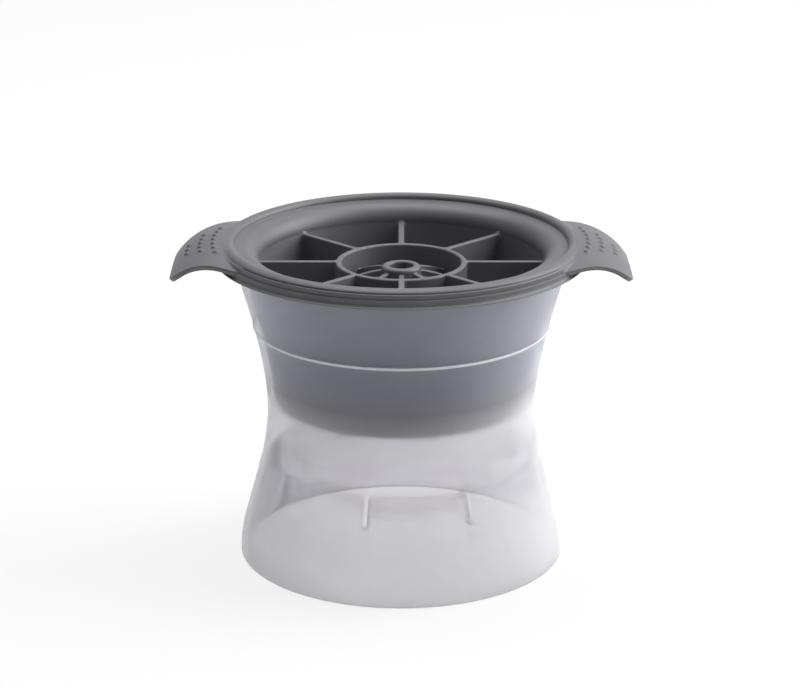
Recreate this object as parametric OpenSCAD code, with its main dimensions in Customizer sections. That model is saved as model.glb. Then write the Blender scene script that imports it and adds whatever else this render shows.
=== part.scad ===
// Ball ice mould: a soft cap with a domed plug, seated in an hourglass base.
// The cap holds the upper half of the ball of ice and the base holds the lower half.
// The origin is on the table at the middle of the foot, +Z is up and the ears point along X.

/* [Overall] */
// Height from the table to the crest of the bead round the cap's top
total_h = 77.2; // [76:0.1:84]
// Diameter of the cap over its lip, without the ears
rim_d = 87.5; // [87:0.5:94]

/* [Ball] */
// Diameter of the ball of ice
ball_d = 56.6; // [54:0.2:57.4]
// Height of the plane where the cap's half of the ball meets the base's half
seam_z = 38; // [36.5:0.1:40]

/* [Base wall] */
// Thickness of the hourglass wall
wall = 1.4; // [1:0.1:1.8]
// Outer diameter at the waist
waist_d = 63.5; // [62.8:0.1:66]
// Height of the waist
waist_z = 35.5; // [33:0.5:36.5]
// Outer diameter of the open mouth
mouth_d = 79.7; // [78:0.1:80.6]
// How softly the wall turns at the waist on its way up
upper_bend = 8; // [4:0.5:11]
// How softly the wall turns at the waist on its way down
lower_bend = 0.8; // [0.5:0.1:3]
// Outer diameter at the crease below the waist
crease_d = 66.3; // [65:0.1:69]
// Height of the crease
crease_z = 24.2; // [20:0.1:27]
// Outer diameter of the foot at the table
foot_d = 77.4; // [73:0.1:84]
// Height over which the skirt turns upright at the foot
foot_turn_h = 8; // [5:0.5:12]
// How much the skirt still leans at the table, as a slope
foot_slope = 0.01; // [0:0.01:0.1]
// Height of the raised fill line
fill_line_z = 56.5; // [50:0.5:62]
// Height of the raised fill line's band
fill_line_w = 0.6; // [0.4:0.1:1]
// How far the fill line stands out of the wall
fill_line_out = 0.25; // [0.15:0.05:0.5]

/* [Base inside] */
// Thickness of the bowl under the ball
bowl_wall = 1.6; // [1.2:0.1:2.4]
// Number of webs between the bowl and the skirt
web_count = 8; // [4:1:12]
// Thickness of a web
web_t = 1.4; // [1:0.1:2.2]
// How far the webs reach down from the collar
web_h = 7.6; // [4:0.2:12]
// Turn of the first web from the X axis, in degrees
web_turn = 30; // [0:1:45]

/* [Fit] */
// Gap between the plug and the wall above the fill line
plug_gap = 0.2; // [0.15:0.05:0.3]
// Extra gap that the plug has gained at its lower edge
plug_ease = 0.25; // [0.1:0.05:0.5]
// Gap between the plug's lower edge and the ledge, and between the flange and the base's mouth
seat_gap = 0.15; // [0.1:0.05:0.3]
// Gap between the lip and the outside of the mouth
lip_gap = 0.7; // [0.4:0.1:0.9]

/* [Cap rim] */
// Thickness of the flange over the base's mouth
flange_t = 2.8; // [2.4:0.1:3.2]
// Height from the crest of the bead to the lip's lower edge
lip_drop = 4.05; // [3.8:0.05:4.8]
// How much narrower the lip is at its upper edge, on the radius
lip_lean = 1; // [0.6:0.1:1.2]
// Height of the lip's outer face
lip_band_h = 1.7; // [1.2:0.1:2]
// How far the face above the lip stands in from the lip's upper edge
tier_in = 0.15; // [0.1:0.05:0.3]
// Inner diameter of the bead
bead_in_d = 77.9; // [76.8:0.1:78.6]
// Diameter of the bead's crest
bead_crest_d = 80.6; // [79.4:0.1:81.4]
// Diameter at which the bead meets the groove around it
bead_out_d = 84.2; // [83:0.1:84.4]
// Height of the bead's crest over the groove
bead_h = 0.85; // [0.4:0.05:1]
// Depth of the small step inside the bead
inner_step_h = 1.4; // [0.8:0.1:1.8]
// Fall of the funnel from the small step to the well's rounded mouth
funnel_fall = 0.15; // [0:0.05:0.6]
// Radius of the rounded edges on the rim
rim_round = 0.45; // [0.2:0.05:0.5]

/* [Cap well] */
// Diameter of the well below its rounded mouth
well_d = 66.6; // [64:0.2:68]
// Radius of the rounded mouth of the well
well_round = 4; // [2:0.1:4.5]
// Height of the bottom of the trench between the plug wall and the dome
trench_z = 48; // [47:0.5:52]
// Thickness of the plug wall at the bottom of the trench
plug_wall = 2.3; // [2:0.1:2.8]
// Radius of the rounded foot of the plug
plug_round = 1; // [0.2:0.1:1.2]
// Thickness of the dome over the ball
dome_wall = 2; // [1.6:0.1:2.4]

/* [Cap ribs] */
// Number of ribs between the ring and the well's wall
rib_count = 8; // [4:1:12]
// Thickness of a rib
rib_t = 1.4; // [1:0.1:2]
// Depth of the ribs' and the ring's top edge below the crest of the bead
rib_drop = 5.7; // [4.8:0.1:6.9]
// Outer diameter of the inner ring
ring_d = 30.8; // [26:0.2:36]
// Thickness of the inner ring
ring_t = 1.4; // [1:0.1:2]
// Diameter of the hub
hub_d = 9.3; // [8:0.1:12]
// Depth of the hub's top below the top edge of the ribs
hub_drop = 0.9; // [0:0.1:1.4]
// Diameter of the fill hole through the hub
hole_d = 5.6; // [4.4:0.1:6]
// Thickness of the small ribs round the hub
small_rib_t = 1.2; // [0.8:0.1:1.6]
// Height of the small ribs over the dome
small_rib_h = 1.5; // [0.8:0.1:2]

/* [Ears] */
// Distance between the tips of the two ears
ear_span = 107.4; // [104:0.2:114]
// Width of an ear at its root
ear_w = 47.2; // [44:0.2:50]
// Distance from the axis to the root, where the width is taken
ear_root_x = 34; // [33:0.5:35]
// Length of the straight part of the ear's end
ear_end_w = 18; // [12:0.5:22]
// Radius of the corners at the ear's end
ear_corner_r = 5.5; // [3:0.5:8]
// Thickness of an ear
ear_t = 1.2; // [1:0.1:1.5]
// Depth of the ear's highest line below the crest of the bead
ear_drop = 0.1; // [0.1:0.05:0.5]
// Distance from the axis at which the ear's downward curl starts
curl_start = 40.8; // [38:0.1:43]
// Turn of the ear from level to its tip, in degrees
curl_turn = 55; // [45:1:62]
// Radius of the ear's crown across its width
crown_r = 134; // [110:1:240]

/* [Grip bumps] */
// Number of bumps in the row nearest the rim
bump_count = 7; // [5:2:9]
// Number of rows of bumps, each two bumps shorter than the last
bump_rows = 3; // [1:1:3]
// Distance of the first row from the axis
bump_row_r = 43.8; // [43:0.1:45]
// Distance between rows
bump_row_step = 3.1; // [2.4:0.1:3.4]
// Distance between bumps along a row
bump_pitch = 3.3; // [2.4:0.1:3.6]
// Radius of a bump
bump_r = 0.75; // [0.5:0.05:1]
// How far a bump stands out of the ear
bump_out = 0.45; // [0.3:0.05:0.7]

/* [Hidden] */
$fn = 96;

// A little overlap so that joined volumes share material
bite = 0.3;
// How far a cutting shape runs past what it cuts
past = 1;
// How far the ear's sheet curls on past the cut at its tip, in degrees
past_turn = 8;
// Height step of the points along the curved wall
wall_step = 2.8;
// Steps along a short arc
arc_steps = 6;

ball_r = ball_d / 2;
waist_r = waist_d / 2;
crease_r = crease_d / 2;
foot_r = foot_d / 2;
mouth_r = mouth_d / 2;
flange_under_z = total_h - flange_t;
mouth_z = flange_under_z - seat_gap;
ledge_z = seam_z - seat_gap;
bowl_out_r = ball_r + bowl_wall;
dome_out_r = ball_r + dome_wall;
rib_top_z = total_h - rib_drop;
ring_r = ring_d / 2;

tip_x = ear_span / 2;
// Radius of the ear's curl, over its upper side
curl_r = (tip_x - curl_start) / sin(curl_turn);

// Slopes that carry the wall through the waist, the mouth and the crease
upper_slope = sqrt(pow(mouth_r - waist_r + upper_bend, 2) - pow(upper_bend, 2)) / (mouth_z - waist_z);
lower_slope = sqrt(pow(crease_r - waist_r + lower_bend, 2) - pow(lower_bend, 2)) / (waist_z - crease_z);
// Slope of the straight part of the skirt
skirt_slope = (foot_r - crease_r - foot_turn_h * foot_slope / 2) / (crease_z - foot_turn_h / 2);

// Outer radius of the hourglass wall at a height
function upper_r(z) = waist_r - upper_bend + sqrt(pow(upper_slope * (z - waist_z), 2) + pow(upper_bend, 2));
function lower_r(z) = waist_r - lower_bend + sqrt(pow(lower_slope * (waist_z - z), 2) + pow(lower_bend, 2));
function skirt_r(z) = z >= foot_turn_h
  ? crease_r + skirt_slope * (crease_z - z)
  : foot_r - foot_slope * z - (skirt_slope - foot_slope) * z * z / (2 * foot_turn_h);
function wall_r(z) = z > waist_z ? upper_r(z) : z > crease_z ? lower_r(z) : skirt_r(z);

// Heights from low to high, evenly spaced and with both ends
function levels(low, high, step) =
  let(n = ceil((high - low) / step)) [for (i = [0 : n]) low + (high - low) * i / n];
function backwards(list) = [for (i = [len(list) - 1 : -1 : 0]) list[i]];
// Points of an arc round a centre, from one angle to another
function arc(cx, cy, r, from, to, n) =
  [for (i = [0 : n]) let(a = from + (to - from) * i / n) [cx + r * cos(a), cy + r * sin(a)]];

wall_levels = concat(
  levels(0, foot_turn_h, wall_step / 2),
  [crease_z],
  [for (z = levels(crease_z, waist_z, wall_step)) if (z > crease_z) z],
  [for (z = levels(waist_z, mouth_z, wall_step)) if (z > waist_z) z]);

// Outer radius of the plug at a height
function plug_r(z) = wall_r(z) - wall - plug_gap
  - (z < fill_line_z ? plug_ease * (fill_line_z - z) / (fill_line_z - seam_z) : 0);
plug_levels = concat(
  levels(seam_z + plug_round, fill_line_z, wall_step),
  [for (z = levels(fill_line_z, flange_under_z, wall_step)) if (z > fill_line_z) z]);

// Radius of the well's sloping wall at a height below its rounded mouth
funnel_z = total_h - inner_step_h - funnel_fall;
well_top_z = funnel_z - well_round;
well_low_r = plug_r(trench_z) - plug_wall;
function well_r(z) = well_low_r + (well_d / 2 - well_low_r) * (z - trench_z) / (well_top_z - trench_z);

module plug_and_rim() {
  lip_r = rim_d / 2;
  lip_low_z = total_h - lip_drop;
  lip_top_z = lip_low_z + lip_band_h;
  lip_top_r = lip_r - lip_lean;
  tier_r = lip_top_r - tier_in;
  groove_z = total_h - bead_h;
  bead_in_r = bead_in_d / 2;
  crest_r = bead_crest_d / 2;
  bead_out_r = bead_out_d / 2;
  in_round = min(crest_r - bead_in_r, inner_step_h);
  out_round = (pow(bead_out_r - crest_r, 2) + pow(bead_h, 2)) / (2 * bead_h);
  out_turn = acos(1 - bead_h / out_round);
  tier_round = min(rim_round, tier_r - bead_out_r);
  plug_foot_r = plug_r(seam_z + plug_round) - plug_round;
  rotate_extrude()
    polygon(concat(
      [[0, seam_z]],
      arc(plug_foot_r, seam_z + plug_round, plug_round, -90, 0, arc_steps),
      [for (z = plug_levels) if (z > seam_z + plug_round) [plug_r(z), z]],
      [[mouth_r + lip_gap, flange_under_z]],
      [[mouth_r + lip_gap, lip_low_z]],
      arc(lip_r - rim_round, lip_low_z + rim_round, rim_round, -90, 0, arc_steps),
      [[lip_top_r, lip_top_z]],
      [[tier_r, lip_top_z + tier_in]],
      arc(tier_r - tier_round, groove_z - tier_round, tier_round, 0, 90, arc_steps),
      arc(crest_r, total_h - out_round, out_round, 90 - out_turn, 90, arc_steps),
      arc(bead_in_r + in_round, total_h - in_round, in_round, 90, 180, arc_steps),
      [[bead_in_r, total_h - inner_step_h]],
      arc(well_d / 2 + well_round, well_top_z, well_round, 90, 180, 2 * arc_steps),
      [[well_low_r, trench_z]],
      [[0, trench_z]]));
}

// Dome over the upper half of the ball, clipped where it sinks into the plug wall
module dome() {
  intersection() {
    translate([0, 0, seam_z]) sphere(r = dome_out_r);
    translate([0, 0, trench_z - past]) cylinder(r = ball_d, h = dome_out_r);
  }
}

module inner_ring() {
  translate([0, 0, seam_z])
    difference() {
      cylinder(r = ring_r, h = rib_top_z - seam_z);
      translate([0, 0, -past]) cylinder(r = ring_r - ring_t, h = rib_top_z - seam_z + 2 * past);
    }
}

module ribs() {
  inner_r = ring_r - ring_t / 2;
  for (i = [0 : rib_count - 1])
    rotate([0, 0, 360 * i / rib_count])
      rotate([90, 0, 0])
        translate([0, 0, -rib_t / 2])
          linear_extrude(rib_t)
            polygon([
              [inner_r, rib_top_z],
              [well_r(rib_top_z) + bite, rib_top_z],
              [well_r(trench_z) + bite, trench_z - bite],
              [inner_r, trench_z - bite]]);
}

module small_ribs() {
  intersection() {
    for (i = [0 : rib_count - 1])
      rotate([0, 0, 360 * i / rib_count])
        translate([hub_d / 4, -small_rib_t / 2, seam_z])
          cube([ring_r - ring_t / 2 - hub_d / 4, small_rib_t, dome_out_r + small_rib_h]);
    translate([0, 0, seam_z]) sphere(r = dome_out_r + small_rib_h);
  }
}

module hub() {
  top_z = rib_top_z - hub_drop;
  round_r = (hub_d - hole_d) / 4;
  rotate_extrude()
    polygon(concat(
      [[0, seam_z]],
      [[hub_d / 2, seam_z]],
      arc(hub_d / 2 - round_r, top_z - round_r, round_r, 0, 90, arc_steps),
      [[0, top_z]]));
}

// Height of the ear's upper side: it curls down along X and is crowned along Y
function curl_fall(x) = curl_r - sqrt(pow(curl_r, 2) - pow(max(0, x - curl_start), 2));
function ear_top_z(x, y) =
  total_h - ear_drop - crown_r + sqrt(pow(crown_r - curl_fall(x), 2) - pow(y, 2));

// Plan of one side of the ear: half of its end, the round corner, then straight to the root
corner_x = tip_x - ear_corner_r;
corner_y = ear_end_w / 2;
side_run = [ear_root_x - corner_x, ear_w / 2 - corner_y];
side_turn = atan2(side_run[1], side_run[0]) - acos(ear_corner_r / norm(side_run));
side_x = corner_x + ear_corner_r * cos(side_turn);
side_y = corner_y + ear_corner_r * sin(side_turn);
ear_side = concat(
  [[tip_x, 0]],
  [[tip_x, corner_y / 2]],
  arc(corner_x, corner_y, ear_corner_r, 0, side_turn, 2 * arc_steps),
  [for (i = [1 : arc_steps])
    [side_x + (ear_root_x - side_x) * i / arc_steps, side_y + (ear_w / 2 - side_y) * i / arc_steps]]);

// Ear sheet, cut square to the sheet at its tip and kept clear of the base's mouth
module ear() {
  tip_z = ear_top_z(tip_x, 0);
  reach = tip_x - ear_root_x;
  plan = concat(ear_side, [for (p = backwards(ear_side)) if (p[1] > 0) [p[0], -p[1]]]);
  lean = curl_turn;
  difference() {
    intersection() {
      translate([0, 0, total_h - ear_drop - crown_r])
        rotate([0, 90, 0])
          rotate_extrude()
            polygon(concat(
              [[crown_r, ear_root_x - past]],
              arc(crown_r - curl_r, curl_start, curl_r, 0, curl_turn + past_turn, 2 * arc_steps),
              arc(crown_r - curl_r, curl_start, curl_r - ear_t, curl_turn + past_turn, 0, 2 * arc_steps),
              [[crown_r - ear_t, ear_root_x - past]]));
      translate([tip_x, 0, tip_z])
        rotate([0, lean, 0])
          translate([0, 0, -reach])
            linear_extrude(2 * reach)
              polygon([for (p = plan)
                [(p[0] - tip_x) * cos(lean) - (ear_top_z(p[0], p[1]) - tip_z) * sin(lean), p[1]]]);
    }
    cylinder(r = mouth_r + lip_gap + bite, h = total_h + past);
  }
}

module bumps() {
  for (row = [0 : bump_rows - 1]) {
    r = bump_row_r + row * bump_row_step;
    n = bump_count - 2 * row;
    for (i = [0 : n - 1]) {
      a = (i - (n - 1) / 2) * bump_pitch / r * 180 / PI;
      x = r * cos(a);
      y = r * sin(a);
      translate([x, y, ear_top_z(x, y) + bump_out - bump_r])
        sphere(r = bump_r, $fn = 24);
    }
  }
}

module silicone_cap() {
  color([0.35, 0.34, 0.34])
    difference() {
      union() {
        plug_and_rim();
        dome();
        inner_ring();
        ribs();
        small_ribs();
        hub();
        for (side = [0, 180])
          rotate([0, 0, side]) {
            ear();
            bumps();
          }
      }
      translate([0, 0, seam_z]) sphere(r = ball_r);
      cylinder(d = hole_d, h = total_h);
    }
}

module base_wall() {
  collar_in_r = sqrt(pow(ball_r, 2) - pow(seam_z - crease_z, 2)) - bite;
  rotate_extrude()
    polygon(concat(
      [for (z = wall_levels) [wall_r(z), z]],
      [for (z = backwards(wall_levels)) if (z > ledge_z) [wall_r(z) - wall, z]],
      [[wall_r(ledge_z) - wall, ledge_z]],
      [[collar_in_r, ledge_z]],
      [[collar_in_r, crease_z]],
      [for (z = backwards(wall_levels)) if (z <= crease_z) [wall_r(z) - wall, z]]));
}

module fill_line() {
  rotate_extrude()
    polygon([
      [wall_r(fill_line_z) - bite, fill_line_z - fill_line_w / 2],
      [wall_r(fill_line_z) + fill_line_out, fill_line_z - fill_line_w / 4],
      [wall_r(fill_line_z) + fill_line_out, fill_line_z + fill_line_w / 4],
      [wall_r(fill_line_z) - bite, fill_line_z + fill_line_w / 2]]);
}

module bowl() {
  intersection() {
    translate([0, 0, seam_z]) sphere(r = bowl_out_r);
    cylinder(r = ball_d, h = crease_z + bite);
  }
}

// Webs that tie the bowl to the skirt under the collar
module webs() {
  low_z = crease_z - web_h;
  for (i = [0 : web_count - 1])
    rotate([0, 0, web_turn + 360 * i / web_count])
      rotate([90, 0, 0])
        translate([0, 0, -web_t / 2])
          linear_extrude(web_t)
            polygon([
              [ball_r / 2, low_z],
              [wall_r(low_z) - wall + bite, low_z],
              [wall_r(crease_z) - wall + bite, crease_z + bite],
              [ball_r / 2, crease_z + bite]]);
}

module hourglass_base() {
  color([0.82, 0.83, 0.86, 0.6])
    difference() {
      union() {
        base_wall();
        fill_line();
        bowl();
        webs();
      }
      translate([0, 0, seam_z]) sphere(r = ball_r);
    }
}

silicone_cap();
hourglass_base();
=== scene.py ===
"""Looks of a two-piece mould for one ball of ice: a silicone cap in a translucent hourglass base.

Lengths are in millimetres until a mesh is written. The frame has its origin on the table at the middle of
the foot, +Z up and the cap's tabs along X. Outlines are lists of (radius from the axis, height), and each
of their points becomes a row of a round grid."""

import math

import bmesh
import bpy
import numpy as np
from mathutils import Matrix, Vector

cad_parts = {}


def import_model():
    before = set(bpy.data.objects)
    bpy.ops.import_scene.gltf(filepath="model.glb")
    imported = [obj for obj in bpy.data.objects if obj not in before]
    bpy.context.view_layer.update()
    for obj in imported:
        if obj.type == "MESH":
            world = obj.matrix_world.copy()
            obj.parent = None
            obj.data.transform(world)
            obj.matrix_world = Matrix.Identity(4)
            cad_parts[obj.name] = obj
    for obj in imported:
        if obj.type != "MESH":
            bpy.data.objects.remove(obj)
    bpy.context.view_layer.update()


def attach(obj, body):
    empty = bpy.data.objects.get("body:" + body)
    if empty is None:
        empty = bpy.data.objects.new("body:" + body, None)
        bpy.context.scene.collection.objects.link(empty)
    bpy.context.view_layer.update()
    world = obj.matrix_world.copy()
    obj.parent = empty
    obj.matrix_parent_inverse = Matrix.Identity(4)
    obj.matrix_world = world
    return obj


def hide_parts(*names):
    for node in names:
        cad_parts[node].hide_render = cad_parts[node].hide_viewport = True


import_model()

MM = 0.001

# Sizes of the base, as in the CAD source
BALL_R, SEAM_Z = 28.3, 38.0
WALL, BOWL_WALL = 1.4, 1.6
WAIST_R, WAIST_Z, MOUTH_R, MOUTH_Z = 31.75, 35.5, 39.85, 74.25
UPPER_BEND, LOWER_BEND = 8.0, 0.8
CREASE_R, CREASE_Z = 33.15, 24.2
FOOT_R, FOOT_TURN, FOOT_SLOPE = 38.7, 8.0, 0.01
FILL_LINE_Z, FILL_LINE_HALF_W = 56.5, 0.3
WEB_COUNT, WEB_TURN, WEB_HALF_T, WEB_Z = 8, 30.0, 0.7, 16.6

# Gaps between the cap and the base, as in the CAD source
PLUG_GAP, PLUG_EASE, SEAT_GAP, LIP_GAP = 0.2, 0.25, 0.15, 0.7

# Sizes of the cap, as in the CAD source, with the lip a hair smaller so that it stays in the CAD's box
TOP_Z = 77.2
DOME_R = 30.3
PLUG_ROUND, PLUG_WALL = 1.0, 2.3
WELL_R, WELL_TOP_Z, WELL_ROUND, TRENCH_Z = 33.3, 71.65, 4.0, 48.0
FUNNEL_Z, BEAD_IN_R, CREST_R, BEAD_OUT_R, BEAD_H = 75.65, 38.95, 40.3, 42.1, 0.85
TIER_R, TIER_ROUND = 42.6, 0.45
LIP_R, LIP_Z, LIP_TOP_R, LIP_TOP_Z = 43.74, 73.15, 42.75, 74.85
RIB_COUNT, RIB_HALF_T, RIB_Z = 8, 0.7, 71.5
RING_IN_R, RING_OUT_R = 14.0, 15.4
HUB_R, HOLE_R, HUB_Z = 4.65, 2.8, 70.6
SMALL_RIB_HALF_T, SMALL_RIB_R = 0.6, 31.8

# Sizes of the tabs and their bumps, as in the CAD source
TAB_TIP_X, TAB_ROOT_X, TAB_ROOT_Y, TAB_CORNER_Y, TAB_CORNER_R = 53.7, 34.0, 23.6, 9.0, 5.5
TAB_T, TAB_DROP, CURL_START, CURL_TURN, CROWN_R = 1.2, 0.1, 40.8, 55.0, 134.0
BUMP_ROWS, BUMP_COUNT, BUMP_ROW_R, BUMP_ROW_STEP, BUMP_PITCH = 3, 7, 43.8, 3.1, 3.3

# Rounded edges, hollow fillets and the lean of ribs and webs, which only the looks have
HOLE_ROUND, HUB_ROUND, RING_ROUND = 0.5, 0.85, 0.45
WELL_FILLET, RIB_TOP_FILLET, HUB_FLARE, RING_FLARE = 0.5, 0.45, 0.35, 0.5
RIB_EDGE, RIB_FOOT, RIB_DRAFT, WEB_DRAFT = 0.3, 0.5, 0.1, 0.06
FLOOR_Z = 47.6  # the lowest that the well's floor falls, in the trench round the dome
RIB_MEETS_WALL_R = 29.6  # beyond it a rib stands on the well's wall, not on the dome
# A bump's outline, from its crown to its flared foot and on to its closed end inside the tab
BUMP_CROWN = [(0.0, 0.42), (0.22, 0.41), (0.40, 0.37), (0.54, 0.295), (0.64, 0.195), (0.70, 0.10)]
BUMP_FOOT = [(0.75, 0.04), (0.81, 0.0), (0.88, -0.02), (0.88, -0.35), (0.0, -0.35)]


# outlines

def arc(cx, cz, r, start, end, n):
    """n + 1 points of an arc, with angles in degrees."""
    turns = [math.radians(start + (end - start) * i / n) for i in range(n + 1)]
    return [(cx + r * math.cos(t), cz + r * math.sin(t)) for t in turns]


def ball_arc(r, first, last, n, up):
    """n points of an arc round the ball's centre. Angles are in degrees from straight up, where up is 1,
    or from straight down, where it is -1."""
    turns = [math.radians(angle) for angle in np.linspace(first, last, n)]
    return [(r * math.sin(t), SEAM_Z + up * r * math.cos(t)) for t in turns]


def climb(radius, first_z, last_z, n):
    """n points from one height to another, of an outline whose radius is a function of height."""
    return [(radius(z), float(z)) for z in np.linspace(first_z, last_z, n)]


def smoothstep(x, low, high):
    t = np.clip((x - low) / (high - low), 0.0, 1.0)
    return t * t * (3 - 2 * t)


def fillet(x, r):
    """Height of a hollow fillet of radius r at a distance x from the wall that it climbs."""
    x = np.clip(x, 0.0, r)
    return r - np.sqrt(np.maximum(r * r - (r - x) ** 2, 0.0))


def bend(gain, length, bend_r):
    """Slope of a hyperbola that leaves a waist softly and gains a radius of gain over a length."""
    return math.sqrt((gain + bend_r) ** 2 - bend_r ** 2) / length


UPPER_SLOPE = bend(MOUTH_R - WAIST_R, MOUTH_Z - WAIST_Z, UPPER_BEND)
LOWER_SLOPE = bend(CREASE_R - WAIST_R, WAIST_Z - CREASE_Z, LOWER_BEND)
SKIRT_SLOPE = (FOOT_R - CREASE_R - FOOT_TURN * FOOT_SLOPE / 2) / (CREASE_Z - FOOT_TURN / 2)


def wall_r(z):
    """Outer radius of the hourglass wall at a height."""
    if z > WAIST_Z:
        return WAIST_R - UPPER_BEND + math.hypot(UPPER_SLOPE * (z - WAIST_Z), UPPER_BEND)
    if z > CREASE_Z:
        return WAIST_R - LOWER_BEND + math.hypot(LOWER_SLOPE * (WAIST_Z - z), LOWER_BEND)
    if z > FOOT_TURN:
        return CREASE_R + SKIRT_SLOPE * (CREASE_Z - z)
    return FOOT_R - FOOT_SLOPE * z - (SKIRT_SLOPE - FOOT_SLOPE) * z * z / (2 * FOOT_TURN)


def inner_wall_r(z):
    """Inner radius of the hourglass wall at a height."""
    return wall_r(z) - WALL


def plug_r(z):
    """Outer radius of the plug at a height."""
    ease = PLUG_EASE * (FILL_LINE_Z - z) / (FILL_LINE_Z - SEAM_Z) if z < FILL_LINE_Z else 0.0
    return inner_wall_r(z) - PLUG_GAP - ease


def sphere_z(rho, r):
    """Height of a sphere of radius r round the ball's centre, above the point at radius rho."""
    return SEAM_Z + np.sqrt(np.maximum(r * r - np.square(rho), 0.0))


# round grids

def spoke_angles(rho, half_t, on_rib, beside_rib, pocket_n, count, turn, least_rho):
    """Angles of a grid's columns, gathered along the sides of radial ribs, and each column's distance
    from the nearest rib's side. rho and half_t hold one value per row. on_rib and beside_rib are
    distances from the rib's side, and pocket_n columns fill the space between."""
    widest_sine = 0.9
    half_sector = math.pi / count
    base = np.maximum(rho, least_rho)[:, None]
    half_t = half_t[:, None]
    inside = np.arcsin(np.clip((half_t + np.array(on_rib)[None, :]) / base, 0, widest_sine))
    beside = np.arcsin(np.clip((half_t + np.array(beside_rib)[None, :]) / base, 0, widest_sine))
    share = np.arange(1, pocket_n + 1)[None, :] / pocket_n
    pocket = beside[:, -1:] + (half_sector - beside[:, -1:]) * share
    middle = np.zeros((len(rho), 1))
    half = np.concatenate([middle, inside, beside, pocket], axis=1)
    sector = np.concatenate([half[:, :-1], 2 * half_sector - half[:, :0:-1]], axis=1)
    starts = math.radians(turn) + 2 * half_sector * np.arange(count)
    theta = (starts[None, :, None] + sector[:, None, :]).reshape(len(rho), -1)
    side = np.minimum(sector, 2 * half_sector - sector)
    off = base * np.sin(side) - half_t
    return theta, np.tile(off, (1, count))


def spread(values, theta):
    """One value per row, repeated for each column of theta."""
    return np.repeat(values[:, None], theta.shape[1], axis=1)


def grid_faces(rows, cols, closed):
    """Quads of a grid whose columns close on themselves, and whose rows do if closed."""
    i = np.arange(rows if closed else rows - 1)[:, None]
    j = np.arange(cols)[None, :]
    i2, j2 = (i + 1) % rows, (j + 1) % cols
    quads = np.stack([i * cols + j, i * cols + j2, i2 * cols + j2, i2 * cols + j], axis=-1)
    return quads.reshape(-1, 4)


def grid_points(rho, theta, z):
    return np.stack([rho * np.cos(theta), rho * np.sin(theta), z], axis=-1).reshape(-1, 3) * MM


def new_object(name, data):
    obj = bpy.data.objects.new(name, data)
    bpy.context.scene.collection.objects.link(obj)
    return obj


def make_object(name, verts, faces):
    mesh = bpy.data.meshes.new(name)
    mesh.from_pydata([tuple(v) for v in verts], [], [tuple(int(i) for i in f) for f in faces])
    work = bmesh.new()
    work.from_mesh(mesh)
    bmesh.ops.recalc_face_normals(work, faces=work.faces)
    work.to_mesh(mesh)
    work.free()
    mesh.polygons.foreach_set("use_smooth", [True] * len(mesh.polygons))
    return new_object(name, mesh)


# silicone cap

WELL_LOW_R = plug_r(TRENCH_Z) - PLUG_WALL
WELL_SLOPE = (WELL_R - WELL_LOW_R) / (WELL_TOP_Z - TRENCH_Z)  # outward lean for each millimetre up
BEAD_R = ((BEAD_OUT_R - CREST_R) ** 2 + BEAD_H ** 2) / (2 * BEAD_H)


def well_wall_r(z):
    """Radius of the well's leaning wall at a height."""
    return WELL_R - (WELL_TOP_Z - z) * WELL_SLOPE


def well_mouth_r(z):
    """Radius of the well's rounded mouth at a height."""
    return WELL_R + WELL_ROUND - math.sqrt(WELL_ROUND ** 2 - (z - WELL_TOP_Z) ** 2)


def floor_z(rho):
    """Height of the well's floor and wall: the dome, the trench and the leaning wall."""
    dome = sphere_z(rho, DOME_R)
    wall = WELL_TOP_Z - (WELL_R - rho) / WELL_SLOPE
    return np.maximum(np.maximum(dome, wall), FLOOR_Z)


def rib_half_t(rho):
    """Half the thickness of the ribs at each row, with a fillet where they meet hub and ring."""
    across_ring = smoothstep(rho, RING_IN_R, RING_OUT_R)
    t = SMALL_RIB_HALF_T + (RIB_HALF_T - SMALL_RIB_HALF_T) * across_ring
    inside = fillet(np.minimum(rho - HUB_R, RING_IN_R - rho), HUB_FLARE)
    outside = fillet(rho - RING_OUT_R, RING_FLARE)
    between = HUB_FLARE + (RING_FLARE - HUB_FLARE) * across_ring
    flare = np.where(rho < RING_IN_R, inside, np.where(rho > RING_OUT_R, outside, between))
    return t + np.where(rho < HUB_R, HUB_FLARE, flare)


def foot_rows(foot_r, way):
    """Rows of the hollow fillet at the foot of a wall on the well's floor. They leave the wall outwards
    where way is 1, and reach it from within where way is -1."""
    steps = (0, 0.04, 0.12, 0.25, 0.5)
    radii = [(foot_r + way * x, x) for x in steps][::way]
    return [(r, float(floor_z(r) + fillet(x, WELL_FILLET))) for r, x in radii]


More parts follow.
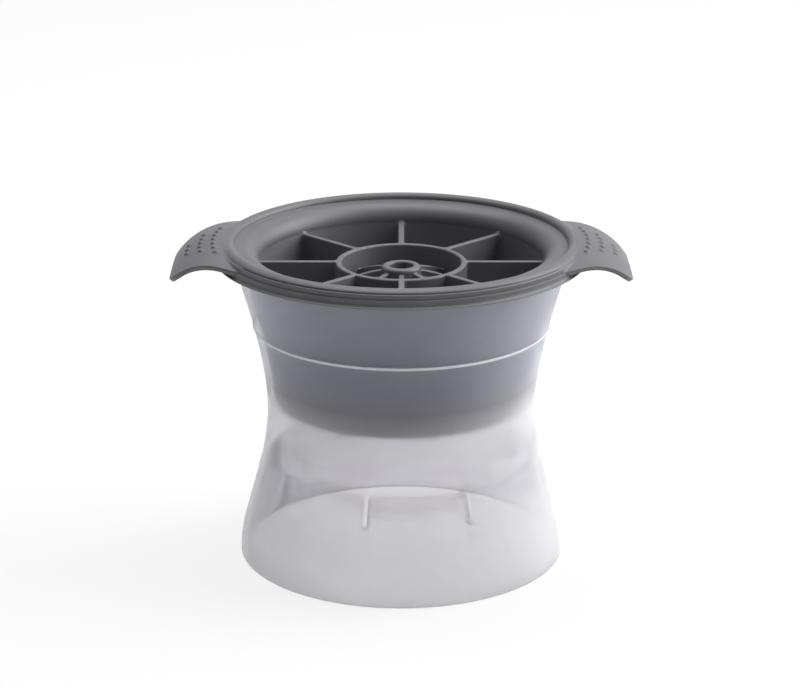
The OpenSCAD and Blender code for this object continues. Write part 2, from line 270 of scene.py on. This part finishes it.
def well_rows():
    """Outline from the fill hole over the hub, the dome and the ring, and up the well's wall."""
    hub_foot_r, ring_in_foot_r, ring_out_foot_r = HUB_R + 0.05, RING_IN_R - 0.08, RING_OUT_R + 0.08
    dome_end_r, wall_foot_z = 28.2, 48.5
    rows = arc(HOLE_R + HOLE_ROUND, HUB_Z - HOLE_ROUND, HOLE_ROUND, 180, 90, 5)
    rows += arc(HUB_R - HUB_ROUND, HUB_Z - HUB_ROUND, HUB_ROUND, 90, 0, 7)
    rows += foot_rows(hub_foot_r, 1)
    rows += [(r, float(floor_z(r))) for r in np.linspace(hub_foot_r + 0.9, RING_IN_R - 0.9, 12)]
    rows += foot_rows(ring_in_foot_r, -1)
    # two more rows up the ring's inner wall, because long quads there shade unevenly
    rows += [(RING_IN_R - 0.07, 66.9), (RING_IN_R - 0.05, 67.6)]
    rows += arc(RING_IN_R + RING_ROUND, RIB_Z - RING_ROUND, RING_ROUND, 180, 90, 5)
    rows += arc(RING_OUT_R - RING_ROUND, RIB_Z - RING_ROUND, RING_ROUND, 90, 0, 5)
    rows += foot_rows(ring_out_foot_r, 1)
    rows += [(r, float(floor_z(r))) for r in np.linspace(RING_OUT_R + 1.2, dome_end_r, 16)]
    low_r = well_wall_r(wall_foot_z)
    rows += [(low_r - back, FLOOR_Z + up) for back, up in ((0.7, 0.05), (0.35, 0.12), (0.1, 0.4))]
    # the rows crowd together where the ribs end
    for z in (wall_foot_z, 50, 53, 57, 61, 65, 67.5, 69.5, 70.4, 71, 71.3, 71.55):
        rows.append((well_wall_r(z), z))
    for up in (0.1, 0.25, 0.4, 0.65):
        rows.append((well_mouth_r(WELL_TOP_Z + up), WELL_TOP_Z + up))
    return rows


def rim_rows():
    """Outline from the well's rounded mouth over the funnel, the bead, the groove, the tier and the ridge
    on the lip, to the lip's foot."""
    step_round, bead_round, groove_round, tier_round = 0.28, 1.35, 0.12, 0.3
    tier_foot_round, ridge_round, lip_round = 0.1, 0.15, 0.14
    groove_z, tier_z, tier_foot_z = 76.14, 75.96, 75.16
    rows = arc(WELL_R + WELL_ROUND, WELL_TOP_Z, WELL_ROUND, 166, 90, 18)
    rows += [(BEAD_IN_R - 1.2, FUNNEL_Z + 0.04), (BEAD_IN_R - 0.65, FUNNEL_Z + 0.09)]
    rows += arc(BEAD_IN_R - 0.26, FUNNEL_Z + 0.4, step_round, -90, -8, 5)
    rows += arc(CREST_R, TOP_Z - bead_round, bead_round, 168, 90, 12)
    groove_r = BEAD_OUT_R - groove_round
    turn = math.degrees(math.asin((groove_r - CREST_R) / BEAD_R))
    rows += arc(CREST_R, TOP_Z - BEAD_R, BEAD_R, 84, 92 - turn, 10)
    rows += arc(groove_r + groove_round, groove_z, groove_round, 180, 360, 5)
    rows += arc(groove_r + 3 * groove_round, groove_z, groove_round, 150, 92, 3)
    rows += arc(TIER_R - tier_round, tier_z, tier_round, 78, 2, 6)
    rows += [(TIER_R, tier_foot_z + 0.54), (TIER_R - 0.04, tier_foot_z + 0.19)]
    rows += arc(TIER_R + 0.06, tier_foot_z, tier_foot_round, 180, 262, 4)
    rows += arc(LIP_TOP_R + 0.14, LIP_TOP_Z + 0.04, ridge_round, 112, -8, 7)
    cove = ((0.3, 0.25), (0.32, 0.6), (0.38, 0.9), (0.5, 1.13), (0.72, 1.32))
    rows += [(LIP_TOP_R + out, LIP_TOP_Z - down) for out, down in cove]
    rows += [(LIP_R - 0.1, LIP_TOP_Z - 1.41)]
    rows += arc(LIP_R - lip_round, LIP_Z + 0.16, lip_round, 50, -84, 7)
    return rows


def under_rows():
    """Outline from the lip's foot round its inside, under the flange, down the plug, over its foot, up
    the dome's hollow and the fill hole."""
    lip_foot_round, corner = 0.2, 0.1
    flange_z = MOUTH_Z + SEAT_GAP
    channel_r = MOUTH_R + LIP_GAP
    rows = arc(channel_r + lip_foot_round, LIP_Z + lip_foot_round, lip_foot_round, -90, -180, 3)
    rows += [(channel_r, flange_z - corner), (channel_r - corner, flange_z)]
    plug_top_r = plug_r(flange_z)
    rows += [(plug_top_r + corner, flange_z), (plug_top_r, flange_z - corner)]
    foot_z = SEAM_Z + PLUG_ROUND
    rows += climb(plug_r, flange_z - 1.5, foot_z + 0.2, 36)
    rows += arc(plug_r(foot_z) - PLUG_ROUND, foot_z, PLUG_ROUND, 0, -90, 9)
    rows += [(BALL_R + 0.12, SEAM_Z), (BALL_R, SEAM_Z + 0.12)]
    rim_angle = math.degrees(math.asin(HOLE_R / BALL_R))
    rows += ball_arc(BALL_R, 88, rim_angle + 1, 44, 1)
    hole_low = float(sphere_z(HOLE_R, BALL_R))
    rows += [(HOLE_R + 0.05, hole_low + 0.1), (HOLE_R, hole_low + 0.3), (HOLE_R, 68.0), (HOLE_R, 69.5)]
    return rows


def cap_mesh():
    on_rib = (-RIB_EDGE, -0.2, -0.1, -0.03, 0.0)
    beside_rib = (RIB_DRAFT, 0.14, 0.22, 0.36, 0.62)
    pocket_n, turn = 11, 0.0
    well = well_rows()
    rho0, z0 = np.array(well + rim_rows() + under_rows()).T
    theta, off = spoke_angles(
        rho0, rib_half_t(rho0), on_rib, beside_rib, pocket_n, RIB_COUNT, turn, HUB_R + 0.3)
    rho, z = spread(rho0, theta), spread(z0, theta)
    n = len(well)
    z[:n] = ribbed(rho[:n], z[:n], off[:n])
    return make_object("cap_moulding", grid_points(rho, theta, z), grid_faces(*rho.shape, True))


def ribbed(rho, z, off):
    """The well's surface with the ribs laid over it. off is the distance from a rib's side."""
    small = rho < (RING_IN_R + RING_OUT_R) / 2
    rib_end_r = well_wall_r(RIB_Z)
    rib_z = np.where(small, sphere_z(rho, SMALL_RIB_R), RIB_Z + fillet(rib_end_r - rho, RIB_TOP_FILLET))
    rib_z = np.where(rho > rib_end_r, RIB_Z + RIB_TOP_FILLET, rib_z)
    rib_z = np.where(small & (rho < HUB_R - 0.1), 0.0, rib_z)
    edge = RIB_EDGE - np.sqrt(np.maximum(RIB_EDGE ** 2 - np.clip(off + RIB_EDGE, 0, RIB_EDGE) ** 2, 0))
    foot = fillet(off - RIB_DRAFT, RIB_FOOT)
    on_floor = z + foot * np.clip((rib_z - z) / RIB_FOOT, 0.0, 1.0)
    on_wall = np.minimum(z + foot / WELL_SLOPE, np.maximum(z, rib_z - RIB_EDGE))
    beside = np.where((rho > RIB_MEETS_WALL_R) & (z < RIB_Z), on_wall, on_floor)
    return np.where(off < 0.5 * RIB_DRAFT, np.maximum(z, rib_z - edge), beside)


# tabs

CURL_R = (TAB_TIP_X - CURL_START) / math.sin(math.radians(CURL_TURN))


def tab_top(x, y):
    """Height of a tab's upper side, which curls down along X and is crowned along Y."""
    out = np.clip(x - CURL_START, 0.0, 0.98 * CURL_R)  # short of upright, also past the tip
    fall = CURL_R - np.sqrt(CURL_R ** 2 - out ** 2)
    return TOP_Z - TAB_DROP - CROWN_R + np.sqrt((CROWN_R - fall) ** 2 - y ** 2)


def tab_slopes(x, y):
    """Rise of a tab's upper side along X and along Y."""
    h = 0.01
    along_x = (tab_top(x + h, y) - tab_top(x - h, y)) / (2 * h)
    along_y = (tab_top(x, y + h) - tab_top(x, y - h)) / (2 * h)
    return along_x, along_y


def tab_normal(x, y):
    along_x, along_y = tab_slopes(x, y)
    normal = np.stack([-along_x, -along_y, np.ones_like(along_x)], axis=-1)
    return normal / np.linalg.norm(normal, axis=-1, keepdims=True)


def on_tab(xy):
    """Points on a tab's upper side over points of its plan."""
    return np.concatenate([xy, tab_top(xy[:, 0], xy[:, 1])[:, None]], axis=-1)


def tab_plan():
    """Points along a tab's outline from one root to the other, and their outward directions."""
    side_n, corner_n, end_n = 44, 16, 15
    corner = np.array([TAB_TIP_X - TAB_CORNER_R, TAB_CORNER_Y])
    root = np.array([TAB_ROOT_X, TAB_ROOT_Y])
    away = root - corner
    turn = math.atan2(away[1], away[0]) - math.acos(TAB_CORNER_R / np.linalg.norm(away))
    touch = corner + TAB_CORNER_R * np.array([math.cos(turn), math.sin(turn)])
    points = [root + (touch - root) * i / side_n for i in range(side_n)]
    outward = [(math.cos(turn), math.sin(turn))] * side_n
    for i in range(corner_n + 1):
        a = turn * (1 - i / corner_n)
        points.append(corner + TAB_CORNER_R * np.array([math.cos(a), math.sin(a)]))
        outward.append((math.cos(a), math.sin(a)))
    for i in range(1, end_n):
        points.append(np.array([TAB_TIP_X, TAB_CORNER_Y * (1 - i / end_n)]))
        outward.append((1.0, 0.0))
    half, half_out = np.array(points), np.array(outward)
    middle, forward = np.array([[TAB_TIP_X, 0.0]]), np.array([[1.0, 0.0]])
    mirror = np.array([1.0, -1.0])
    plan = np.concatenate([half, middle, half[::-1] * mirror])
    return plan, np.concatenate([half_out, forward, half_out[::-1] * mirror])


def rim_top(rho):
    """Height of the bead, the groove and the tier at a radius, and far below outside the tier."""
    groove_z = TOP_Z - BEAD_H
    bead = TOP_Z - BEAD_R + np.sqrt(np.maximum(BEAD_R ** 2 - (rho - CREST_R) ** 2, 0.0))
    tier = groove_z - fillet(TIER_R - rho, TIER_ROUND)
    return np.where(rho > TIER_R, 0.0, np.where(rho > BEAD_OUT_R, tier, np.maximum(bead, groove_z)))


def blended(a, b, k):
    """The higher of a and b, with a rounded hollow of size k where they cross."""
    share = np.clip(0.5 + 0.5 * (a - b) / k, 0.0, 1.0)
    return b + (a - b) * share + k * share * (1 - share)


def tab_sheet_z(x, y):
    """Height of a tab's upper side, with the hollow in which it meets the bead and the tier."""
    root_depth, root_end_r, least_depth, hollow, rim_fillet = 0.3, 41.5, 0.02, 0.5, 0.4
    rho = np.hypot(x, y)
    own = tab_top(x, y)
    sink = root_depth * (1 - smoothstep(rho, CREST_R, root_end_r)) + least_depth
    merged = blended(own, rim_top(rho) - sink, hollow)
    climb_rim = np.where(rho > TIER_R, fillet(rho - TIER_R, rim_fillet), 0.0)
    return merged + climb_rim * np.clip((TOP_Z - BEAD_H - 0.2 - own) / rim_fillet, 0.0, 1.0)


def tab_sheet():
    """Points of one tab as a closed sheet, row by row round its section, whose root lies inside the rim."""
    soft, top_n, under_n, crowding = 0.26, 46, 16, 1.5
    plan, outward = tab_plan()
    root_turn = np.arctan2(plan[:, 1], plan[:, 0])
    root = CREST_R * np.stack([np.cos(root_turn), np.sin(root_turn)], axis=-1)
    slope_x, slope_y = tab_slopes(plan[:, 0], plan[:, 1])
    rise = outward[:, 0] * slope_x + outward[:, 1] * slope_y
    along = np.stack([outward[:, 0], outward[:, 1], rise], axis=-1)
    along /= np.linalg.norm(along, axis=-1, keepdims=True)
    normal = tab_normal(plan[:, 0], plan[:, 1])
    edge = on_tab(plan)
    inner = plan - soft * along[:, :2]
    rows = []
    for i in range(top_n):
        xy = root + (inner - root) * (i / (top_n - 1)) ** crowding
        rows.append(np.concatenate([xy, tab_sheet_z(xy[:, 0], xy[:, 1])[:, None]], axis=-1))
    for turn in (22, 45, 67, 90):
        t = math.radians(turn)
        rows.append(edge - soft * (1 - math.sin(t)) * along - soft * (1 - math.cos(t)) * normal)
    for back, down in ((0.0, 0.5 * TAB_T), (0.0, TAB_T - 0.2), (0.08, TAB_T - 0.06), (0.24, TAB_T)):
        rows.append(edge - back * along - down * normal)
    for i in range(1, under_n + 1):
        xy = inner + (root - inner) * (i / under_n)
        rows.append(on_tab(xy) - TAB_T * tab_normal(xy[:, 0], xy[:, 1]))
    return np.array(rows)


def tab_mesh():
    sheet = tab_sheet()
    row_n, col_n = sheet.shape[:2]
    verts, faces = [], []
    for side in (1.0, -1.0):
        start = len(verts)
        verts += (sheet.reshape(-1, 3) * np.array([side, side, 1.0]) * MM).tolist()
        for i in range(row_n):
            i2 = (i + 1) % row_n
            for j in range(col_n - 1):
                a, b = start + i * col_n + j, start + i2 * col_n + j
                faces.append((a, a + 1, b + 1, b))
        faces.append([start + i * col_n for i in range(row_n)])
        faces.append([start + i * col_n + col_n - 1 for i in reversed(range(row_n))])
    return make_object("pull_tabs", verts, faces)


def tab_bumps():
    """Rows of small domes on both tabs, each with a flared foot that runs out into the tab."""
    verts, faces = [], []
    for flip in (0.0, math.pi):
        for row in range(BUMP_ROWS):
            count, row_r = BUMP_COUNT - 2 * row, BUMP_ROW_R + row * BUMP_ROW_STEP
            for k in range(count):
                turn = (k - (count - 1) / 2) * BUMP_PITCH / row_r
                x, y = row_r * math.cos(turn), row_r * math.sin(turn)
                up = Vector(tab_normal(np.array([x]), np.array([y]))[0])
                stand = Vector((x, y, float(tab_top(x, y))))
                place = Matrix.Rotation(flip, 4, "Z") @ Matrix.Translation(stand)
                place = place @ up.to_track_quat("Z", "Y").to_matrix().to_4x4()
                add_dome(BUMP_CROWN + BUMP_FOOT, place, verts, faces)
    return make_object("tab_bumps", verts, faces)


def add_dome(outline, place, verts, faces):
    """Adds a closed revolved shape with both ends on its axis to verts and faces."""
    sides = 20
    start = len(verts)
    verts.append(place @ Vector((0, 0, outline[0][1])) * MM)
    for rho, z in outline[1:-1]:
        for k in range(sides):
            t = 2 * math.pi * k / sides
            verts.append(place @ Vector((rho * math.cos(t), rho * math.sin(t), z)) * MM)
    verts.append(place @ Vector((0, 0, outline[-1][1])) * MM)
    rings = len(outline) - 2
    for k in range(sides):
        k2 = (k + 1) % sides
        faces.append((start, start + 1 + k, start + 1 + k2))
        for i in range(rings - 1):
            a, b = start + 1 + i * sides, start + 1 + (i + 1) * sides
            faces.append((a + k, b + k, b + k2, a + k2))
        a = start + 1 + (rings - 1) * sides
        faces.append((a + k, len(verts) - 1, a + k2))


# hourglass base

def outer_rows():
    """Outline of the base from the bottom of the bowl over the ledge and the mouth, down the outside with
    its fill line, and over the foot."""
    mouth_round, foot_round, inner_foot_round = 0.3, 0.25, 0.2
    ledge_z = SEAM_Z - SEAT_GAP
    rim_angle = math.degrees(math.acos((SEAM_Z - ledge_z) / BALL_R))
    rows = ball_arc(BALL_R, 1.5, rim_angle - 0.4, 44, -1)
    rows += [(BALL_R + 0.1, ledge_z), (inner_wall_r(ledge_z) - 0.15, ledge_z)]
    rows += climb(inner_wall_r, ledge_z + 0.15, MOUTH_Z - 0.4, 44)
    mouth_r = wall_r(MOUTH_Z)
    rows += arc(mouth_r - WALL + mouth_round, MOUTH_Z - mouth_round, mouth_round, 160, 90, 3)
    rows += arc(mouth_r - mouth_round, MOUTH_Z - mouth_round, mouth_round, 90, 20, 3)
    low, high = FILL_LINE_Z - FILL_LINE_HALF_W, FILL_LINE_Z + FILL_LINE_HALF_W
    rows += climb(wall_r, MOUTH_Z - 0.8, high + 0.1, 20)
    for z, out in ((high, 0.06), (high - 0.12, 0.22), (FILL_LINE_Z, 0.26), (low + 0.12, 0.22), (low, 0.06)):
        rows.append((wall_r(z) + out, z))
    rows += climb(wall_r, low - 0.1, CREASE_Z + 0.3, 30)
    rows += climb(wall_r, CREASE_Z - 0.3, 0.3, 28)
    rows += arc(FOOT_R - foot_round, foot_round, foot_round, -15, -90, 4)
    rows += arc(inner_wall_r(0) + inner_foot_round, inner_foot_round, inner_foot_round, -90, -170, 3)
    return rows


def inner_rows():
    """Outline of the base up the inside of the skirt, under the collar and under the bowl."""
    crease_fillet = 0.5
    corner_r = inner_wall_r(CREASE_Z) - crease_fillet
    rows = climb(inner_wall_r, 0.6, CREASE_Z - crease_fillet, 26)
    rows += arc(corner_r, CREASE_Z - crease_fillet, crease_fillet, 10, 90, 4)
    bowl_r = BALL_R + BOWL_WALL
    collar_in_r = math.sqrt(bowl_r ** 2 - (SEAM_Z - CREASE_Z) ** 2)
    collar_n = 5
    collar_step = (collar_in_r + 0.5 - corner_r) / collar_n
    rows += [(corner_r + collar_step * i, CREASE_Z) for i in range(1, collar_n + 1)]
    start = math.degrees(math.asin(collar_in_r / bowl_r))
    rows += ball_arc(bowl_r, start - 1.5, 1.5, 40, -1)
    return rows


def webbed(z, off):
    """The underside of the collar and the bowl, with the webs hung from it. off is the distance from a
    web's side."""
    web_edge, web_fillet = 0.15, 0.4
    web = np.where(off < -0.02, WEB_Z, WEB_Z + web_edge)
    foot = fillet(off - WEB_DRAFT, web_fillet) * np.clip((z - WEB_Z) / web_fillet, 0, 1)
    return np.where(off < WEB_DRAFT / 2, np.minimum(z, web), z - foot)


# The base's material slots, in the order in which its materials are added
FROSTED, POLISHED, PAINTED_HIGHLIGHT, PAINTED_SHADE = range(4)


def row_finishes(rho, z):
    """Material slot of each row's faces: the hourglass wall is frosted, the bowl, the collar and the webs
    are polished, the fill line gets a painted highlight, and the fillet inside the crease gets a painted
    shade."""
    wall = np.array([wall_r(height) for height in z])
    near = 0.27
    # painted shade: the mask of the fillet inside the crease, which is made darker
    crease = (np.abs(rho - wall + WALL + 0.25) < near) & (np.abs(z - CREASE_Z + 0.25) < near)
    finish = np.where(crease, PAINTED_SHADE, np.where(rho < wall - WALL - 0.4, POLISHED, FROSTED))
    # painted highlight: the fill line's ridge gets a whiter, milkier finish, as if it caught a glint
    return np.where(rho > wall + 0.04, PAINTED_HIGHLIGHT, finish)


def base_mesh():
    on_web = (-0.2, -0.05, 0.0)
    beside_web = (WEB_DRAFT, 0.12, 0.25, 0.5)
    pocket_n, least_rho = 16, 12.0
    outer = outer_rows()
    rho0, z0 = np.array(outer + inner_rows()).T
    half_t = np.full_like(rho0, WEB_HALF_T)
    theta, off = spoke_angles(rho0, half_t, on_web, beside_web, pocket_n, WEB_COUNT, WEB_TURN, least_rho)
    rho, z = spread(rho0, theta), spread(z0, theta)
    n = len(outer)
    z[n:] = webbed(z[n:], off[n:])
    points = grid_points(rho, theta, z)
    faces = grid_faces(*rho.shape, False).tolist()
    row_n, col_n = rho.shape
    bowl_pole, under_pole = len(points), len(points) + 1
    poles = np.array([[0, 0, SEAM_Z - BALL_R], [0, 0, SEAM_Z - BALL_R - BOWL_WALL]]) * MM
    last = (row_n - 1) * col_n
    for j in range(col_n):
        j2 = (j + 1) % col_n
        faces.append((bowl_pole, j2, j))
        faces.append((under_pole, last + j, last + j2))
    obj = make_object("base_moulding", np.concatenate([points, poles]), faces)
    finish = row_finishes(rho0, z0)[:-1].repeat(col_n).tolist() + [POLISHED] * (2 * col_n)
    obj.data.polygons.foreach_set("material_index", finish)
    return obj


# materials

NOISE_LOW, NOISE_HIGH = 0.3, 0.7  # most of a noise's values lie between them


def new_material(name):
    mat = bpy.data.materials.new(name)
    mat.use_nodes = True
    nodes = mat.node_tree.nodes
    return mat, nodes, mat.node_tree.links, nodes["Principled BSDF"]


def noise(nodes, links, coords, scale, detail):
    node = nodes.new("ShaderNodeTexNoise")
    node.inputs["Scale"].default_value = scale
    node.inputs["Detail"].default_value = detail
    links.new(coords.outputs["Object"], node.inputs["Vector"])
    return node.outputs["Fac"]


def ramp(nodes, links, source, low, high, low_out, high_out):
    node = nodes.new("ShaderNodeMapRange")
    node.inputs["From Min"].default_value = low
    node.inputs["From Max"].default_value = high
    node.inputs["To Min"].default_value = low_out
    node.inputs["To Max"].default_value = high_out
    links.new(source, node.inputs["Value"])
    return node.outputs["Result"]


def math_node(nodes, links, operation, first, second):
    """A Math node of two inputs, each a socket or a number."""
    node = nodes.new("ShaderNodeMath")
    node.operation = operation
    for socket, value in zip(node.inputs, (first, second)):
        if isinstance(value, (int, float)):
            socket.default_value = value
        else:
            links.new(value, socket)
    return node.outputs[0]


def mixed_colour(nodes, links, share, first, second):
    node = nodes.new("ShaderNodeMix")
    node.data_type = "RGBA"
    node.inputs["A"].default_value = (*first, 1)
    node.inputs["B"].default_value = (*second, 1)
    links.new(share, node.inputs["Factor"])
    return node.outputs["Result"]


def mixed_shader(nodes, links, share, first, second):
    node = nodes.new("ShaderNodeMixShader")
    for socket, source in zip(node.inputs, (share, first, second)):
        links.new(source, socket)
    return node.outputs[0]


def silicone():
    """Matt silicone, slightly cloudy, with a fine grain."""
    darker, lighter = (0.097, 0.095, 0.101), (0.115, 0.1125, 0.119)
    mat, nodes, links, shader = new_material("dark_silicone")
    coords = nodes.new("ShaderNodeTexCoord")
    cloudy = ramp(nodes, links, noise(nodes, links, coords, 60.0, 3.0), NOISE_LOW, NOISE_HIGH, 0.0, 1.0)
    grain = noise(nodes, links, coords, 1800.0, 2.0)
    links.new(mixed_colour(nodes, links, cloudy, darker, lighter), shader.inputs["Base Color"])
    roughness = ramp(nodes, links, grain, NOISE_LOW, NOISE_HIGH, 0.42, 0.50)
    links.new(roughness, shader.inputs["Roughness"])
    bump = nodes.new("ShaderNodeBump")
    bump.inputs["Strength"].default_value = 0.25
    bump.inputs["Distance"].default_value = 0.04 * MM
    links.new(grain, bump.inputs["Height"])
    links.new(bump.outputs["Normal"], shader.inputs["Normal"])
    return mat


def haze_and_painted_light_by_height(nodes, links, height):
    """How strong the haze is at a height, from the mouth down to the foot. It is stronger towards the foot.
    Near the mouth and round the plug's foot it is raised further as painted light: a whiter haze where the
    wall is meant to look lit."""
    # painted light: the haze grows whiter towards the mouth, so that the upper wall looks lit
    mouth = ramp(nodes, links, height, 44 * MM, 68 * MM, 0.85, 1.30)
    foot = ramp(nodes, links, height, 12 * MM, 32 * MM, 0.60, 0.0)
    # painted light: a whiter band of haze round where the plug's foot sits
    over_waist = ramp(nodes, links, height, 30 * MM, 38 * MM, 0.0, 0.9)
    under_line = ramp(nodes, links, height, 38.5 * MM, 44.5 * MM, 1.0, 0.0)
    painted_light_round_plug_foot = math_node(nodes, links, "MULTIPLY", over_waist, under_line)
    return math_node(nodes, links, "ADD", math_node(nodes, links, "ADD", foot, mouth), painted_light_round_plug_foot)


def plastic(name, seen_through, low_haze, painted_sheen_haze, face_on, edge_on):
    """Natural polypropylene: a clear body under a milky haze, whose share grows from face_on to edge_on and
    is also raised by height as painted light. The haze has its own colour below the plug's foot, and along
    the plug a painted bluish sheen that stands for light scattered in front of the dark plug."""
    mat, nodes, links, shader = new_material(name)
    coords = nodes.new("ShaderNodeTexCoord")
    axes = nodes.new("ShaderNodeSeparateXYZ")
    links.new(coords.outputs["Object"], axes.inputs[0])
    height = axes.outputs["Z"]
    cloudy = ramp(nodes, links, noise(nodes, links, coords, 45.0, 3.0), NOISE_LOW, NOISE_HIGH, 0.93, 1.07)
    # the haze's strength: random clouding times the height ramps, which carry painted light
    haze_with_painted_light = math_node(nodes, links, "MULTIPLY", cloudy, haze_and_painted_light_by_height(nodes, links, height))
    # painted sheen: a bluish haze colour along the height of the plug, standing for light scattered in
    # front of the dark plug
    painted_sheen_along_plug = ramp(nodes, links, height, 40 * MM, 50 * MM, 0.0, 1.0)
    painted_sheen_along_plug = math_node(nodes, links, "MULTIPLY", painted_sheen_along_plug, cloudy)
    links.new(mixed_colour(nodes, links, painted_sheen_along_plug, low_haze, painted_sheen_haze), shader.inputs["Base Color"])
    grain = noise(nodes, links, coords, 1200.0, 2.0)
    roughness = ramp(nodes, links, grain, NOISE_LOW, NOISE_HIGH, 0.30, 0.40)
    links.new(roughness, shader.inputs["Roughness"])
    shader.inputs["Subsurface Weight"].default_value = 1.0
    shader.inputs["Subsurface Radius"].default_value = (1.0, 1.0, 1.0)
    shader.inputs["Subsurface Scale"].default_value = 6 * MM
    clear = nodes.new("ShaderNodeBsdfTransparent")
    clear.inputs["Color"].default_value = (*seen_through, 1)
    edge = nodes.new("ShaderNodeLayerWeight")
    edge.inputs["Blend"].default_value = 0.2
    milky = ramp(nodes, links, edge.outputs["Facing"], 0.0, 1.0, face_on, edge_on)
    milky = math_node(nodes, links, "MULTIPLY", milky, haze_with_painted_light)
    surface = mixed_shader(nodes, links, milky, clear.outputs[0], shader.outputs[0])
    links.new(surface, nodes["Material Output"].inputs["Surface"])
    return mat


# stage

def aim(obj, place, target):
    """Puts a camera or a lamp at a place and turns it to a target, both in metres."""
    obj.location = place
    obj.rotation_euler = (target - place).to_track_quat("-Z", "Y").to_euler()


def camera():
    """The photograph's camera, from a fit to the ellipses of the rim, the ring and the foot."""
    distance, elevation, aim_x, aim_z = 618.0, 18.39, -0.28, 51.0
    frame_px, focal_px, sensor_mm = 800.0, 2610.0, 36.0
    data = bpy.data.cameras.new("camera")
    data.sensor_width = sensor_mm
    data.lens = focal_px / frame_px * sensor_mm
    data.clip_start, data.clip_end = 0.01, 20.0
    e = math.radians(elevation)
    place = Vector((aim_x, -distance * math.cos(e), aim_z + distance * math.sin(e))) * MM
    obj = new_object("camera", data)
    aim(obj, place, Vector((aim_x, 0, aim_z)) * MM)
    bpy.context.scene.camera = obj


def share_by_ray(nodes, links, shares):
    """The largest of the shares whose kind of ray this is, and 0 for the rays that light the object."""
    path = nodes.new("ShaderNodeLightPath")
    total = 0.0
    for kind, share in shares:
        this = math_node(nodes, links, "MULTIPLY", path.outputs[kind], share)
        total = math_node(nodes, links, "MAXIMUM", this, total)
    return total


def floor():
    """A pale matt floor. It glows to camera, glossy and transmission rays, and not to those that light
    the object."""
    size = 3.0
    grey = 0.86
    glow_by_ray = (("Is Camera Ray", 0.8), ("Is Glossy Ray", 0.8), ("Is Transmission Ray", 0.4))
    verts = [(-size, -size, 0), (size, -size, 0), (size, size, 0), (-size, size, 0)]
    obj = make_object("floor", verts, [(0, 1, 2, 3)])
    mat = bpy.data.materials.new("floor")
    mat.use_nodes = True
    nodes, links = mat.node_tree.nodes, mat.node_tree.links
    nodes.clear()
    out = nodes.new("ShaderNodeOutputMaterial")
    matt = nodes.new("ShaderNodeBsdfDiffuse")
    matt.inputs["Color"].default_value = (grey, grey, grey, 1)
    glow = nodes.new("ShaderNodeEmission")
    glow.inputs["Strength"].default_value = 1.0
    share = share_by_ray(nodes, links, glow_by_ray)
    surface = mixed_shader(nodes, links, share, matt.outputs[0], glow.outputs[0])
    links.new(surface, out.inputs["Surface"])
    obj.data.materials.append(mat)


def world():
    """A studio that is pale to the eye, bright above, behind and to the right, and dim in front."""
    room_colour, diffuse_share = (0.94, 0.94, 1.0, 1), 0.37
    data = bpy.data.worlds.new("studio")
    bpy.context.scene.world = data
    data.use_nodes = True
    nodes, links = data.node_tree.nodes, data.node_tree.links
    nodes.clear()
    out = nodes.new("ShaderNodeOutputWorld")
    coords = nodes.new("ShaderNodeTexCoord")
    axes = nodes.new("ShaderNodeSeparateXYZ")
    links.new(coords.outputs["Generated"], axes.inputs[0])
    back = ramp(nodes, links, axes.outputs["Y"], -0.75, 0.35, 0.07, 1.0)
    above = ramp(nodes, links, axes.outputs["Z"], 0.25, 0.85, 0.0, 1.0)
    right = ramp(nodes, links, axes.outputs["X"], -1.0, 1.0, 0.55, 1.2)
    path = nodes.new("ShaderNodeLightPath")
    lit = ramp(nodes, links, path.outputs["Is Diffuse Ray"], 0.0, 1.0, 1.0, diffuse_share)
    level = math_node(nodes, links, "MAXIMUM", back, above)
    level = math_node(nodes, links, "MULTIPLY", level, right)
    room = nodes.new("ShaderNodeBackground")
    room.inputs["Color"].default_value = room_colour
    links.new(math_node(nodes, links, "MULTIPLY", level, lit), room.inputs["Strength"])
    pale = nodes.new("ShaderNodeBackground")
    pale.inputs["Strength"].default_value = 1.0
    seen = path.outputs["Is Camera Ray"]
    surface = mixed_shader(nodes, links, seen, room.outputs[0], pale.outputs[0])
    links.new(surface, out.inputs["Surface"])


def lamp(name, place, size, power):
    """A rectangular lamp that shines on the middle of the object. Place and size are in metres."""
    data = bpy.data.lights.new(name, "AREA")
    data.shape = "RECTANGLE"
    data.size, data.size_y = size
    data.energy = power
    aim(new_object(name, data), Vector(place), Vector((0, 0, 0.05)))


# scene

camera()
world()
floor()
lamp("right_box", (0.75, 0.15, 0.6), (0.8, 0.9), 11.5)
lamp("top_box", (-0.1, 0.25, 1.0), (0.8, 0.8), 6.5)

# the bluish colour is a painted sheen laid over the plug; MILKY is the haze's own colour
MILKY, PAINTED_BLUE_SHEEN, PAINTED_GLINT_WHITE = (0.88, 0.875, 0.895), (0.74, 0.755, 0.97), (0.98, 0.98, 1.0)
dark = silicone()
finishes_of_base = (
    plastic("frosted_plastic", (0.881, 0.876, 0.896), MILKY, PAINTED_BLUE_SHEEN, 0.14, 0.80),
    plastic("polished_plastic", (0.995, 0.993, 0.993), MILKY, PAINTED_BLUE_SHEEN, 0.012, 0.08),
    # painted highlight on the fill line's ridge
    plastic("painted_highlight_plastic", (0.93, 0.925, 0.92), PAINTED_GLINT_WHITE, PAINTED_GLINT_WHITE, 0.85, 1.0),
    # painted shade in the fillet inside the crease
    plastic("painted_shade_plastic", (0.85, 0.84, 0.87), MILKY, MILKY, 0.06, 0.2),
)
cap = cap_mesh()
tabs = tab_mesh()
bumps = tab_bumps()
base = base_mesh()
for piece, body, node, slot, finishes in (
    (cap, "cap", "silicone_cap", "silicone", (dark,)),
    (tabs, "cap", "silicone_cap", "silicone", (dark,)),
    (bumps, "cap", "silicone_cap", "silicone", (dark,)),
    (base, "base", "hourglass_base", "clear_plastic", finishes_of_base),
):
    for finish in finishes:
        piece.data.materials.append(finish)
    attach(piece, body)
    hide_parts(node)

bpy.context.scene.view_settings.view_transform = "Standard"
